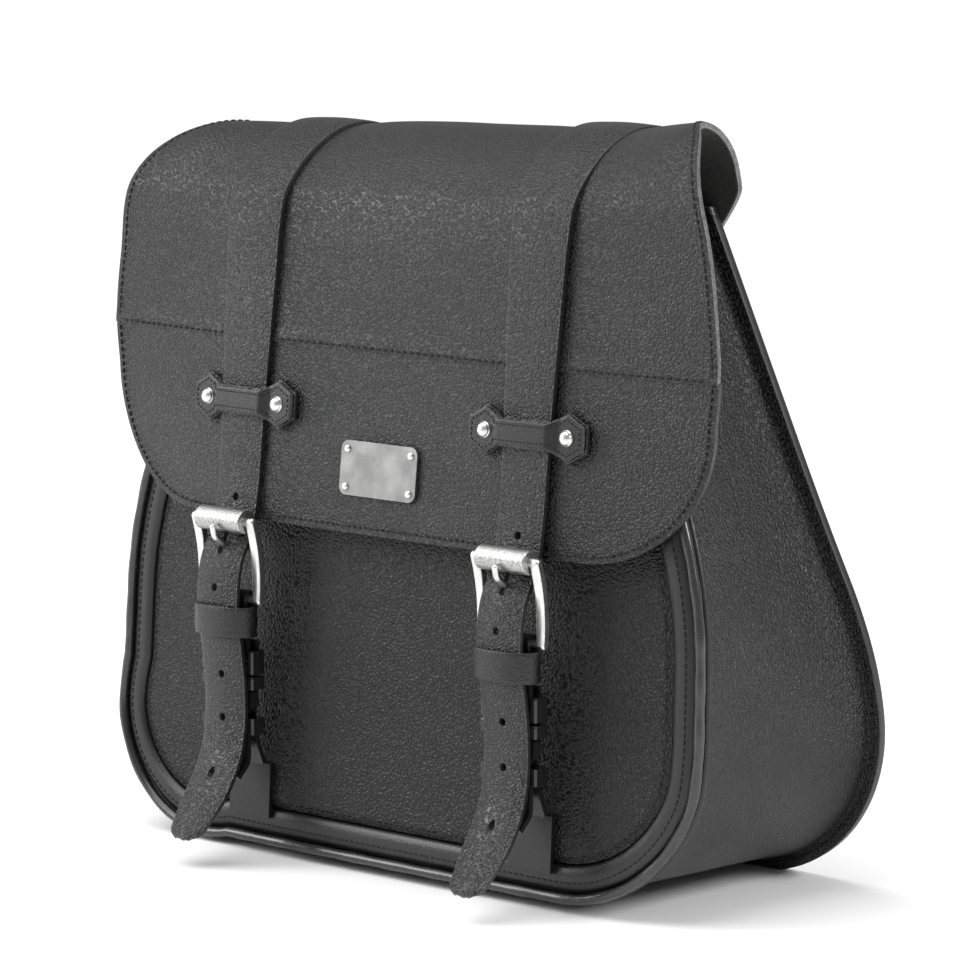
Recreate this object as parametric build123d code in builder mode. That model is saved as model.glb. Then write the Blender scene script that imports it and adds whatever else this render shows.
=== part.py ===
"""Leather motorcycle saddlebag for one side of the machine.

Frame: +Z up, the front faces -Y, and +X is to the right of a person facing the front. The bag
stands on its bottom edge, with the origin in the middle of that footprint. Millimetres.
"""
from build123d import *
import math
import os

os.makedirs("parts", exist_ok=True)

# Bag body, seen from the front
flat_half_width = 102.0
corner_radius = 74.0
shoulder_radius = 194.0
side_lean = 18.0
body_bottom_z = 6.5
flange = 6.5

# Front and back faces, seen from the side
front_foot_y = -47.0
front_lean = 3.0
front_top_z = 268.0
back_foot_y = 89.0
back_lean = 10.0
back_top_z = 304.0

# Sheets of the body
leather = 3.0
inner_leather = 2.4
stiffener_thickness = 2.0
stiffener_margin = 9.0
stiffener_top_z = 286.0
board_thickness = 2.5
field_margin = 11.5
border_edge = 1.1
field_proud = 0.6
piping_radius = 2.5
piping_grow = 4.0
binding_height = 11.0
binding_leather = 1.6

# Mounting eyelets, on the corners of a square
eyelet_spacing = 110.0
eyelet_mid_z = 130.0
eyelet_bore_radius = 4.25
eyelet_tube_radius = 5.2
eyelet_flange_radius = 9.0
eyelet_flange_thickness = 1.2

# Flap: an arch between the front leaf and the rear leaf
arch_z = 299.0
arch_radius = 39.0
flap_lean = 6.0
flap_leather = 3.0
flap_bottom_z = 156.0
flap_corner_radius = 62.0
flap_half_width = 180.5
seam_z = 237.0
seam_half_width = 182.0
crown_half_width = 141.0
hinge_angle = 26.0
hinge_slit = 0.25
leaf_half_width = 132.0
leaf_cut_top_z = 305.0
leaf_cut = 27.0
leaf_bottom_z = 262.0

# Straps
strap_x = 86.0
strap_leather = 3.0
strap_gap = 0.1
strap_crown_half_width = 17.0
strap_half_width = 12.7
strap_taper_z = 172.0
strap_end_half_width = 8.5
strap_end_taper = 12.0
strap_bend_radius = 30.0
rear_strap_end_z = 246.0
hole_radius = 2.0
hole_pitch = 20.0
top_hole_z = 165.5
holes_below_buckle = 5
prong_slot_z = 143.5
prong_slot_length = 13.0
prong_slot_width = 3.8

# Roller buckle
roller_y = -63.5
roller_z = 156.0
roller_radius = 5.5
roller_half_length = 14.2
roller_bar_radius = 2.0
heel_y = -59.5
heel_z = 120.0
heel_bar_radius = 1.8
running_gap = 0.08
cheek_inner_x = 14.8
cheek_width = 4.8
cheek_depth = 4.4
cheek_mid_y = -59.6
cheek_edge = 1.2
prong_radius = 1.5
prong_points = [(-57.2, 139.5), (-69.8, 149.0), (-71.0, 154.5)]
prong_bend_radius = 4.0
prong_end_rounding = 1.0
prong_eye_radius = 3.9
prong_eye_width = 3.6
prong_room_width = 5.0
buckle_strap_end_z = 106.0
keeper_front_y = -68.1
keeper_bottom_z = 104.5
keeper_height = 11.7
keeper_leather = 1.6
keeper_inner_half_width = 13.2

# Side-release clip with its two short straps
thin_leather = 2.2
clip_y = -58.4
clip_thickness = 8.4
clip_half_width = 16.4
clip_bar_radius = 1.6
clip_bar_half_length = 13.4
clip_edge = 1.2
insert_top_z = 97.0
insert_bottom_z = 85.4
insert_bar_z = 95.0
insert_slot_z = 90.9
tongue_half_width = 3.0
tongue_tip_z = 68.0
socket_top_z = 84.8
socket_rim_z = 78.8
socket_base_z = 65.5
socket_bottom_z = 57.5
socket_bar_z = 59.4
socket_slot_z = 63.6
socket_cavity_half_width = 14.2
socket_cavity_thickness = 5.8
socket_plate_half_width = 10.6
arm_x = 11.3
arm_leg_inner_x = 9.6
arm_leg_outer_x = 12.6
arm_pin_z = 87.6
arm_tip_z = 66.4
arm_tip_width = 0.8
arm_tip_slope = 1.5
arm_eye_radius = 2.0
arm_pin_radius = 1.1
arm_pad_x = 13.5
arm_pad_middle = (12.9, 70.2)
arm_pad_round = 0.8
arm_thickness = 4.8
arm_room = 0.4
socket_tail_end = (-68.0, 38.5)
socket_tail_bend_z = 45.0
socket_tail_bend_radius = 7.0
socket_leg_end = (-51.2, 43.0)
socket_leg_bend_z = 53.5
socket_leg_bend_radius = 12.0
lower_strap_top_z = 42.0
lower_strap_bottom_z = 17.0

# Tabs, rivets and name plate
tab_z = 209.0
tab_hexagon_radius = 10.3
tab_rivet_spacing = 45.7
tab_band_height = 10.8
tab_leather = 2.6
rivet_radius = 3.8
rivet_height = 2.3
rear_rivet_z = 266.0
rear_rivet_pitch = 13.0
plate_z = 185.0
plate_width = 46.0
plate_height = 24.5
plate_thickness = 1.4
plate_corner_radius = 4.0
plate_rivet_radius = 1.8
plate_rivet_height = 1.1
plate_rivet_inset = 3.8

reach = 220.0
lean_front = math.radians(front_lean)
lean_back = math.radians(back_lean)
lean_flap = math.radians(flap_lean)
lean_side = math.radians(side_lean)
half_widest = flat_half_width + corner_radius
bend_z = body_bottom_z + corner_radius
arch_inner_radius = arch_radius - flap_leather
arch_y = back_foot_y - (arch_inner_radius + arch_z * math.sin(lean_back)) / math.cos(lean_back)
front_face = Plane(
    origin=(0, front_foot_y, 0), x_dir=(1, 0, 0), z_dir=(0, -math.cos(lean_front), math.sin(lean_front))
)
back_face = Plane(
    origin=(0, back_foot_y, 0), x_dir=(-1, 0, 0), z_dir=(0, math.cos(lean_back), math.sin(lean_back))
)
sides = {"left": -strap_x, "right": strap_x}


def write(part, name):
    """Label one finished piece and write it."""
    part.label = name
    export_step(part, f"parts/{name}.step")


def front_y(z):
    """Y of the front panel's outer face at height z."""
    return front_foot_y + z * math.tan(lean_front)


def flap_y(z, lift=0.0):
    """Y of the flap's outer front surface at height z, or of a surface `lift` in front of it."""
    return arch_y - (arch_radius + lift - math.sin(lean_flap) * (z - arch_z)) / math.cos(lean_flap)


def flap_plane(x, z, lift=0.0):
    """A plane on the flap's front surface, or `lift` in front of it, facing outwards."""
    outwards = (0, -math.cos(lean_flap), math.sin(lean_flap))
    return Plane(origin=(x, flap_y(z, lift), z), x_dir=(1, 0, 0), z_dir=outwards)


def arch_point(angle, radius):
    """A point of the arch in the side view, as (y, z)."""
    turn = math.radians(angle)
    return (arch_y + radius * math.cos(turn), arch_z + radius * math.sin(turn))


def on_arc(centre_x, radius, angle):
    """A point of an outline arc whose centre is at the height of the bend."""
    turn = math.radians(angle)
    return (centre_x + radius * math.cos(turn), bend_z + radius * math.sin(turn))


def half_outline(grow, top_z):
    """The right half of the bag's front view, from the bottom centre to the top, open at the top."""
    corner = corner_radius + grow
    shoulder = shoulder_radius + grow
    bend_x = half_widest - shoulder_radius
    shoulder_end = on_arc(bend_x, shoulder, side_lean)
    top_x = shoulder_end[0] - (top_z - shoulder_end[1]) * math.tan(lean_side)
    Line((0, body_bottom_z - grow), (flat_half_width, body_bottom_z - grow))
    ThreePointArc(
        on_arc(flat_half_width, corner, -90),
        on_arc(flat_half_width, corner, -45),
        on_arc(flat_half_width, corner, 0),
    )
    ThreePointArc(
        on_arc(bend_x, shoulder, 0), on_arc(bend_x, shoulder, side_lean / 2), shoulder_end
    )
    Line(shoulder_end, (top_x, top_z))
    return top_x


def bag_outline(grow, top_z):
    """The bag's whole front view, grown outwards by `grow`."""
    with BuildSketch(Plane.XZ) as shape:
        with BuildLine():
            top_x = half_outline(grow, top_z)
            Line((top_x, top_z), (0, top_z))
            mirror(about=Plane.YZ)
        make_face()
    return shape.sketch


def slab(outline, face, depth, thickness):
    """A sheet cut to `outline`, lying `depth` behind `face`."""
    with BuildPart() as sheet:
        extrude(outline, amount=reach, both=True)
        split(bisect_by=face.offset(-depth), keep=Keep.BOTTOM)
        split(bisect_by=face.offset(-depth - thickness), keep=Keep.TOP)
    return sheet.part


def strip(path, x, width, thickness):
    """A strip of leather with `path` as its middle line in the side view, centred on x."""
    with BuildSketch(Plane.YZ.offset(x)) as section:
        trace(path, line_width=thickness)
    with BuildPart() as piece:
        extrude(section.sketch, amount=width / 2, both=True)
    return piece.part


def bar(x, y, z, radius, half_length):
    """A round bar along X."""
    with BuildPart() as piece:
        with BuildSketch(Plane.YZ.offset(x)):
            with Locations((y, z)):
                Circle(radius)
        extrude(amount=half_length, both=True)
    return piece.part


def discs(plane, places, radius):
    """Circles of one radius on a plane."""
    with BuildSketch(plane) as circles:
        with Locations(*places):
            Circle(radius)
    return circles.sketch


def domes(plane, places, radius, height):
    """Low domed heads standing on a plane."""
    outwards = Axis(plane.origin, plane.z_dir)
    with BuildPart() as heads:
        extrude(discs(plane, places, radius), amount=height)
        tops = heads.faces().sort_by(outwards)[-len(places):]
        fillet([edge for top in tops for edge in top.edges()], radius=height * 0.95)
    return heads.part


# Body panels
eyelet_mid = eyelet_mid_z / math.cos(lean_back)
eyelet_places = [
    (across, eyelet_mid + up)
    for across in (-eyelet_spacing / 2, eyelet_spacing / 2)
    for up in (-eyelet_spacing / 2, eyelet_spacing / 2)
]
tube_circles = discs(back_face, eyelet_places, eyelet_tube_radius)
flange_circles = discs(back_face, eyelet_places, eyelet_flange_radius)
stiffener_depth = leather + inner_leather
back_depth = stiffener_depth + stiffener_thickness

back_outline = bag_outline(flange, back_top_z)
with BuildPart() as back_panel:
    add(slab(back_outline, back_face, 0, leather))
    extrude(tube_circles, amount=-back_depth, mode=Mode.SUBTRACT)
    extrude(flange_circles, amount=-eyelet_flange_thickness, mode=Mode.SUBTRACT)
write(back_panel.part, "back_panel")

with BuildPart() as back_lining:
    add(slab(back_outline, back_face, leather, inner_leather))
    extrude(tube_circles, amount=-back_depth, mode=Mode.SUBTRACT)
write(back_lining.part, "back_lining")

stiffener_outline = bag_outline(-stiffener_margin, stiffener_top_z)
with BuildPart() as back_stiffener:
    add(slab(stiffener_outline, back_face, stiffener_depth, stiffener_thickness))
    extrude(tube_circles, amount=-back_depth, mode=Mode.SUBTRACT)
write(back_stiffener.part, "back_stiffener")

inner_face = back_face.offset(-back_depth)
with BuildPart() as mounting_eyelets:
    extrude(flange_circles, amount=-eyelet_flange_thickness)
    extrude(tube_circles, amount=-back_depth)
    extrude(discs(inner_face, eyelet_places, eyelet_flange_radius), amount=-eyelet_flange_thickness)
    extrude(discs(back_face, eyelet_places, eyelet_bore_radius), amount=-2 * back_depth, mode=Mode.SUBTRACT)
write(mounting_eyelets.part, "mounting_eyelets")

gusset_top = Plane(
    origin=(0, front_y(front_top_z), front_top_z - leather), x_dir=(1, 0, 0), z_dir=(0, -0.30, 1)
)
with BuildPart() as gusset:
    extrude(bag_outline(0, back_top_z), amount=reach, both=True)
    extrude(bag_outline(-leather, back_top_z + leather), amount=reach, both=True, mode=Mode.SUBTRACT)
    split(bisect_by=front_face.offset(-leather), keep=Keep.BOTTOM)
    split(bisect_by=back_face.offset(-stiffener_depth), keep=Keep.BOTTOM)
    split(bisect_by=gusset_top, keep=Keep.BOTTOM)
write(gusset.part, "gusset")

board_front_y = front_y(body_bottom_z) + 2 * leather
board_back_y = back_foot_y - back_depth - 2 * leather
board_corner = 8.0
with BuildPart() as bottom_board:
    with BuildSketch(Plane.XY.offset(body_bottom_z + leather)):
        with Locations((0, (board_front_y + board_back_y) / 2)):
            RectangleRounded(2 * flat_half_width, board_back_y - board_front_y, board_corner)
    extrude(amount=board_thickness)
write(bottom_board.part, "bottom_board")

field = bag_outline(-field_margin, front_top_z)
write(slab(field, front_face, -field_proud, leather + field_proud), "front_panel")

field_cut = slab(bag_outline(-field_margin, front_top_z + leather), front_face, -leather, 3 * leather)
with BuildPart() as front_border:
    add(slab(bag_outline(border_edge, front_top_z), front_face, 0, leather))
    add(field_cut, mode=Mode.SUBTRACT)
write(front_border.part, "front_border")

with BuildPart() as front_piping:
    with BuildLine(front_face.offset(-piping_radius * 0.6)) as piping_path:
        half_outline(piping_grow, front_top_z)
        mirror(about=Plane.YZ)
    cord = piping_path.wires()[0]
    with BuildSketch(Plane(cord @ 0, z_dir=cord % 0)):
        Circle(piping_radius)
    sweep(path=cord)
write(front_piping.part, "front_piping")

hem_half_width = half_widest - (front_top_z - bend_z) * math.tan(lean_side) + flange
hem_thickness = leather + field_proud
hem_top = (front_top_z + hem_thickness * math.sin(lean_front)) / math.cos(lean_front)
with BuildPart() as front_binding:
    with BuildSketch(front_face.offset(field_proud + binding_leather)):
        with Locations((0, hem_top + binding_leather - binding_height / 2)):
            Rectangle(2 * hem_half_width, binding_height)
    extrude(amount=-hem_thickness - 2 * binding_leather)
    with BuildSketch(front_face.offset(field_proud)):
        with Locations((0, hem_top - binding_height / 2)):
            Rectangle(2 * hem_half_width, binding_height)
    extrude(amount=-hem_thickness, mode=Mode.SUBTRACT)
write(front_binding.part, "front_binding")


# Flap
def flap_section(start_angle, end_angle, front_leaf):
    """Side view of the flap's sheet: an arc of the arch, with the front leaf if asked for."""
    middle = arch_radius - flap_leather / 2
    with BuildLine() as path:
        CenterArc((arch_y, arch_z), middle, start_angle, end_angle - start_angle)
        if front_leaf:
            Line((flap_y(flap_bottom_z, -flap_leather / 2), flap_bottom_z), arch_point(end_angle, middle))
        else:
            foot = arch_point(start_angle, middle)
            drop = foot[1] - leaf_bottom_z
            Line(foot, (foot[0] + drop * math.tan(lean_back), leaf_bottom_z))
    return path.line


front_tangent = 180 - flap_lean
with BuildSketch(Plane.XZ) as front_trim:
    with BuildLine():
        corner_x = flap_half_width - flap_corner_radius
        corner_z = flap_bottom_z + flap_corner_radius
        corner_mid = flap_corner_radius / math.sqrt(2)
        crown_z = arch_z + arch_radius + 1
        Line((0, flap_bottom_z), (corner_x, flap_bottom_z))
        ThreePointArc(
            (corner_x, flap_bottom_z),
            (corner_x + corner_mid, corner_z - corner_mid),
            (flap_half_width, corner_z),
        )
        Spline(
            (flap_half_width, corner_z),
            (seam_half_width, seam_z),
            (177.5, 283.0),
            (164.0, 316.0),
            (crown_half_width, crown_z),
            tangents=((0, 1), (-1, 0.55)),
        )
        Line((crown_half_width, crown_z), (0, crown_z))
        mirror(about=Plane.YZ)
    make_face()
with BuildSketch(Plane.XZ) as rear_trim:
    with BuildLine():
        Polyline(
            (0, leaf_bottom_z),
            (leaf_half_width - leaf_cut, leaf_bottom_z),
            (leaf_half_width - leaf_cut, leaf_cut_top_z - leaf_cut),
            (leaf_half_width, leaf_cut_top_z),
            (crown_half_width, crown_z),
            (0, crown_z),
        )
        mirror(about=Plane.YZ)
    make_face()

flap_path = flap_section(hinge_angle + hinge_slit, front_tangent, True)
flap_sheet = strip(flap_path, 0, 2 * reach, flap_leather)
with BuildPart() as flap_shape:
    extrude(front_trim.sketch, amount=reach)
    extrude(rear_trim.sketch, amount=-reach)
seam_plane = Plane.XY.offset(seam_z)
with BuildPart() as flap_upper_panel:
    add(flap_sheet)
    add(flap_shape.part, mode=Mode.INTERSECT)
    split(bisect_by=seam_plane, keep=Keep.TOP)
write(flap_upper_panel.part, "flap_upper_panel")
with BuildPart() as flap_lower_panel:
    add(flap_sheet)
    add(flap_shape.part, mode=Mode.INTERSECT)
    split(bisect_by=seam_plane, keep=Keep.BOTTOM)
write(flap_lower_panel.part, "flap_lower_panel")

leaf_path = flap_section(back_lean, hinge_angle - hinge_slit, False)
with BuildPart() as flap_rear_leaf:
    add(strip(leaf_path, 0, 2 * reach, flap_leather))
    extrude(rear_trim.sketch, amount=-reach, mode=Mode.INTERSECT)
write(flap_rear_leaf.part, "flap_rear_leaf")

# Straps
strap_lift = strap_gap + strap_leather / 2
strap_middle = arch_radius + strap_lift
hang_points = [
    (flap_y(153.0, strap_lift), 153.0),
    (-66.4, 123.0),
    (-64.9, 98.0),
    (-65.2, 52.0),
    (-89.8, 14.5),
]
with BuildLine() as strap_path:
    crown_arc = CenterArc(
        (arch_y, arch_z),
        strap_middle,
        hinge_angle + hinge_slit,
        front_tangent - hinge_angle - hinge_slit,
    )
    FilletPolyline(crown_arc @ 1, *hang_points, radius=strap_bend_radius)
with BuildLine() as rear_strap_path:
    rear_arc = CenterArc(
        (arch_y, arch_z), strap_middle, back_lean, hinge_angle - hinge_slit - back_lean
    )
    rear_drop = (rear_arc @ 0).Y - rear_strap_end_z
    Line(rear_arc @ 0, ((rear_arc @ 0).X + rear_drop * math.tan(lean_back), rear_strap_end_z))


def strap_front_shape(x):
    """Front view of a long strap: it narrows down to the buckle, and its tip is cut to a blunt point."""
    tip_z = hang_points[-1][1] - strap_leather
    with BuildSketch(Plane.XZ) as shape:
        with BuildLine():
            Polyline(
                (x, tip_z),
                (x + strap_end_half_width, tip_z),
                (x + strap_half_width, tip_z + strap_end_taper),
                (x + strap_half_width, strap_taper_z),
                (x + strap_crown_half_width, arch_z + strap_middle),
                (x + strap_crown_half_width, arch_z + strap_middle + strap_leather),
                (x, arch_z + strap_middle + strap_leather),
            )
            mirror(about=Plane.YZ.offset(x))
        make_face()
    return shape.sketch


hole_heights = [top_hole_z] + [
    top_hole_z - hole_pitch * (step + 2) for step in range(holes_below_buckle)
]


def lay_strap(side, x):
    """One long strap: over the flap, behind the roller, over the heel bar and down to its tip."""
    with BuildPart() as strap:
        add(strip(strap_path.line, x, 2 * strap_crown_half_width, strap_leather))
        extrude(strap_front_shape(x), amount=reach, both=True, mode=Mode.INTERSECT)
        holes = discs(Plane.XZ, [(x, height) for height in hole_heights], hole_radius)
        extrude(holes, amount=reach, mode=Mode.SUBTRACT)
        with BuildSketch(Plane.XZ) as slot:
            with Locations((x, prong_slot_z)):
                SlotOverall(prong_slot_length, prong_slot_width, rotation=90)
        extrude(slot.sketch, amount=reach, mode=Mode.SUBTRACT)
    write(strap.part, f"strap_{side}")
    with BuildPart() as rear_strap:
        add(strip(rear_strap_path.line, x, 2 * strap_crown_half_width, strap_leather))
        foot_edges = rear_strap.edges().filter_by(Axis.Y, tolerance=25).group_by(Axis.Z)[0]
        fillet(foot_edges, radius=strap_crown_half_width / 2)
    write(rear_strap.part, f"rear_strap_{side}")


for side, x in sides.items():
    lay_strap(side, x)

# Tabs across the straps, rivets and name plate
tab_lift = strap_gap + strap_leather
rivet_places = [(-tab_rivet_spacing / 2, 0), (tab_rivet_spacing / 2, 0)]


def cross_tab(side, x):
    """A tab with hexagonal ends that holds a strap down, and its two rivets."""
    base = flap_plane(x, tab_z)
    with BuildPart() as tab:
        with BuildSketch(base):
            with Locations(*rivet_places):
                RegularPolygon(tab_hexagon_radius, 6, rotation=30)
        extrude(amount=tab_lift + tab_leather)
        with BuildSketch(flap_plane(x, tab_z, tab_lift)):
            Rectangle(tab_rivet_spacing, tab_band_height)
        extrude(amount=tab_leather)
        strap_room = base.offset(-1)
        with BuildSketch(strap_room):
            Rectangle(2 * strap_half_width + 5.0, 3 * tab_hexagon_radius)
        extrude(amount=tab_lift + 1, mode=Mode.SUBTRACT)
    write(tab.part, f"strap_tab_{side}")
    heads = domes(flap_plane(x, tab_z, tab_lift + tab_leather), rivet_places, rivet_radius, rivet_height)
    write(heads, f"tab_rivets_{side}")


for side, x in sides.items():
    cross_tab(side, x)

with BuildPart() as name_plate:
    with BuildSketch(flap_plane(0, plate_z)):
        RectangleRounded(plate_width, plate_height, plate_corner_radius)
    extrude(amount=plate_thickness)
write(name_plate.part, "name_plate")
plate_corner_x = plate_width / 2 - plate_rivet_inset
plate_corner_z = plate_height / 2 - plate_rivet_inset
plate_corners = [(a * plate_corner_x, b * plate_corner_z) for a in (-1, 1) for b in (-1, 1)]
plate_rivets = domes(
    flap_plane(0, plate_z, plate_thickness), plate_corners, plate_rivet_radius, plate_rivet_height
)
write(plate_rivets, "plate_rivets")

rear_lift = flap_leather + strap_gap + strap_leather
rear_rivet_up = rear_rivet_z / math.cos(lean_back)
rear_places = [
    (across * strap_x, rear_rivet_up + step * rear_rivet_pitch)
    for across in (-1, 1)
    for step in (-0.5, 0.5)
]
write(domes(back_face.offset(rear_lift), rear_places, rivet_radius, rivet_height), "rear_rivets")


# Roller buckles
with BuildLine() as cheek_line:
    ThreePointArc(
        (roller_y, roller_z), (cheek_mid_y, (roller_z + heel_z) / 2), (heel_y, heel_z)
    )


def buckle_frame(side, x):
    """Two bowed cheeks joined by the roller's bar at the top and the heel bar at the bottom."""
    with BuildPart() as frame:
        for hand in (-1, 1):
            with BuildSketch(Plane.YZ.offset(x + hand * (cheek_inner_x + cheek_width / 2))):
                SlotArc(cheek_line.edges()[0], height=cheek_depth)
            extrude(amount=cheek_width / 2, both=True)
        flats = frame.faces().filter_by(GeomType.PLANE).filter_by(Axis.X)
        fillet(flats.edges(), radius=cheek_edge)
        add(bar(x, roller_y, roller_z, roller_bar_radius, cheek_inner_x + 1))
        add(bar(x, heel_y, heel_z, heel_bar_radius, cheek_inner_x + 1))
    write(frame.part, f"buckle_frame_{side}")


def buckle_roller(side, x):
    """The loose tube on the top bar."""
    with BuildPart() as roller:
        add(bar(x, roller_y, roller_z, roller_radius, roller_half_length))
        fillet(roller.edges(), radius=0.6)
        bore = bar(x, roller_y, roller_z, roller_bar_radius + running_gap, 2 * roller_half_length)
        add(bore, mode=Mode.SUBTRACT)
    write(roller.part, f"buckle_roller_{side}")


def buckle_prong(side, x):
    """The bent prong: an eye on the heel bar, then up through the strap and onto the roller."""
    with BuildPart() as prong:
        with BuildLine(Plane.YZ.offset(x)) as shank:
            FilletPolyline(
                (heel_y, heel_z + (heel_bar_radius + prong_eye_radius) / 2),
                *prong_points,
                radius=prong_bend_radius,
            )
        rod = shank.wires()[0]
        with BuildSketch(Plane(rod @ 0, z_dir=rod % 0)):
            Circle(prong_radius)
        sweep(path=rod)
        fillet(prong.faces().sort_by(Axis.Z)[-1].edges(), radius=prong_end_rounding)
        add(bar(x, heel_y, heel_z, prong_eye_radius, prong_eye_width / 2))
        eye = bar(x, heel_y, heel_z, heel_bar_radius + running_gap, prong_eye_width)
        add(eye, mode=Mode.SUBTRACT)
    write(prong.part, f"buckle_prong_{side}")


heel_wrap = heel_bar_radius + 0.2 + thin_leather / 2
clip_wrap = clip_bar_radius + 0.1 + thin_leather / 2


def block(x, width, y, depth, z_low, z_high):
    """A plain block between two heights."""
    with BuildPart() as piece:
        with BuildSketch(Plane.XY.offset(z_low)):
            with Locations((x, y)):
                Rectangle(width, depth)
        extrude(amount=z_high - z_low)
    return piece.part


def buckle_strap(side, x):
    """The short strap: folded over the heel bar, and down round the bar of the clip's insert."""
    with BuildLine() as path:
        Line((heel_y + heel_wrap, buckle_strap_end_z), (heel_y + heel_wrap, heel_z))
        ThreePointArc(
            (heel_y + heel_wrap, heel_z), (heel_y, heel_z + heel_wrap), (heel_y - heel_wrap, heel_z)
        )
        Line((heel_y - heel_wrap, heel_z), (clip_y - clip_wrap, insert_bar_z))
        ThreePointArc(
            (clip_y - clip_wrap, insert_bar_z),
            (clip_y, insert_bar_z - clip_wrap),
            (clip_y + clip_wrap, insert_bar_z),
        )
        Line((clip_y + clip_wrap, insert_bar_z), (clip_y + clip_wrap, insert_top_z + 4))
    with BuildPart() as strap:
        add(strip(path.line, x, 2 * strap_half_width, thin_leather))
        add(block(x, prong_room_width, heel_y, 14, heel_z - 6, heel_z + 8), mode=Mode.SUBTRACT)
    write(strap.part, f"buckle_strap_{side}")


keeper_back_y = heel_y + heel_wrap + thin_leather / 2 + 0.2


def keeper_loop(side, x):
    """The leather loop that holds the hanging end of the long strap."""
    depth = keeper_back_y - keeper_front_y
    outer_width = 2 * (keeper_inner_half_width + keeper_leather)
    with BuildPart() as keeper:
        with BuildSketch(Plane.XY.offset(keeper_bottom_z)):
            with Locations((x, (keeper_front_y + keeper_back_y) / 2)):
                RectangleRounded(outer_width, depth + 2 * keeper_leather, 3.0)
                RectangleRounded(2 * keeper_inner_half_width, depth, 0.6, mode=Mode.SUBTRACT)
        extrude(amount=keeper_height)
    write(keeper.part, f"keeper_loop_{side}")


# Side-release clips
def pin(x, z, radius, length):
    """A round pin along Y in the clip's middle plane."""
    with BuildPart() as piece:
        with BuildSketch(Plane.XZ.offset(-clip_y)):
            with Locations((x, z)):
                Circle(radius)
        extrude(amount=length / 2, both=True)
    return piece.part


def clip_insert(side, x):
    """The clip's upper half: strap bar, body and guide tongue, with a pin for each arm."""
    width = 2 * clip_half_width
    slot_width = 2 * (arm_eye_radius + arm_room)
    slot_top = arm_pin_z + arm_eye_radius + arm_room
    slot_depth = arm_thickness + 2 * arm_room
    window = block(x, 2 * clip_bar_half_length, clip_y, 2 * clip_thickness, insert_slot_z, insert_top_z + 1)
    with BuildPart() as insert:
        add(block(x, width, clip_y, clip_thickness, insert_bottom_z, insert_top_z))
        fillet(insert.edges(), radius=clip_edge)
        add(window, mode=Mode.SUBTRACT)
        add(bar(x, clip_y, insert_bar_z, clip_bar_radius, clip_bar_half_length + 1))
        for hand in (-1, 1):
            arm_slot = block(x + hand * arm_x, slot_width, clip_y, slot_depth, insert_bottom_z - 1, slot_top)
            add(arm_slot, mode=Mode.SUBTRACT)
            add(pin(x + hand * arm_x, arm_pin_z, arm_pin_radius, clip_thickness - 1))
        add(block(x, 2 * tongue_half_width, clip_y, 2 * clip_bar_radius, tongue_tip_z, insert_bottom_z + 1))
    write(insert.part, f"clip_insert_{side}")


def clip_arm(side, x, place, hand):
    """A springy arm of the insert: an eye on its pin, a slim leg and a rounded thumb pad."""
    pad_top_z = socket_rim_z - arm_pad_round
    pad_top = (arm_pad_x, pad_top_z - arm_pad_round)
    tip = (arm_leg_inner_x + arm_tip_width, arm_tip_z)
    leg_top = (arm_leg_inner_x, arm_pin_z)
    with BuildSketch(Plane.XZ.offset(-clip_y)) as profile:
        with BuildLine():
            Polyline(leg_top, (arm_leg_inner_x, arm_tip_z + arm_tip_slope), tip)
            ThreePointArc(tip, arm_pad_middle, pad_top)
            Polyline(pad_top, (arm_leg_outer_x, pad_top_z), (arm_leg_outer_x, arm_pin_z), leg_top)
        make_face()
        with Locations((arm_x, arm_pin_z)):
            Circle(arm_eye_radius)
            Circle(arm_pin_radius + running_gap, mode=Mode.SUBTRACT)
    with BuildPart() as arm:
        extrude(profile.sketch, amount=arm_thickness / 2, both=True)
    placed = arm.part if hand > 0 else arm.part.mirror(Plane.YZ)
    write(placed.translate((x, 0, 0)), f"clip_arm_{side}_{place}")


def clip_socket(side, x):
    """The clip's lower half: a flat sleeve with open sides for the arms, and a strap bar."""
    width = 2 * clip_half_width
    side_cut = clip_half_width - socket_plate_half_width + 1
    cavity = block(
        x, 2 * socket_cavity_half_width, clip_y, socket_cavity_thickness, socket_base_z, socket_top_z + 1
    )
    slot = block(
        x, 2 * clip_bar_half_length, clip_y, 2 * clip_thickness, socket_bottom_z - 1, socket_slot_z
    )
    with BuildPart() as socket:
        add(block(x, width, clip_y, clip_thickness, socket_bottom_z, socket_top_z))
        fillet(socket.edges(), radius=clip_edge)
        add(cavity, mode=Mode.SUBTRACT)
        for hand in (-1, 1):
            cut_x = x + hand * (socket_plate_half_width + side_cut / 2)
            side_window = block(cut_x, side_cut, clip_y, 2 * clip_thickness, socket_base_z, socket_rim_z)
            add(side_window, mode=Mode.SUBTRACT)
        add(slot, mode=Mode.SUBTRACT)
        add(bar(x, clip_y, socket_bar_z, clip_bar_radius, clip_bar_half_length + 1))
    write(socket.part, f"clip_socket_{side}")


def socket_strap(side, x):
    """The short strap through the socket: a free cut tail in front, and a leg that hangs behind."""
    with BuildLine() as path:
        FilletPolyline(
            socket_tail_end,
            (clip_y - clip_wrap, socket_tail_bend_z),
            (clip_y - clip_wrap, socket_bar_z),
            radius=socket_tail_bend_radius,
        )
        ThreePointArc(
            (clip_y - clip_wrap, socket_bar_z),
            (clip_y, socket_bar_z + clip_wrap),
            (clip_y + clip_wrap, socket_bar_z),
        )
        FilletPolyline(
            (clip_y + clip_wrap, socket_bar_z),
            (clip_y + clip_wrap, socket_leg_bend_z),
            socket_leg_end,
            radius=socket_leg_bend_radius,
        )
    write(strip(path.line, x, 2 * strap_half_width, thin_leather), f"socket_strap_{side}")


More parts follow.
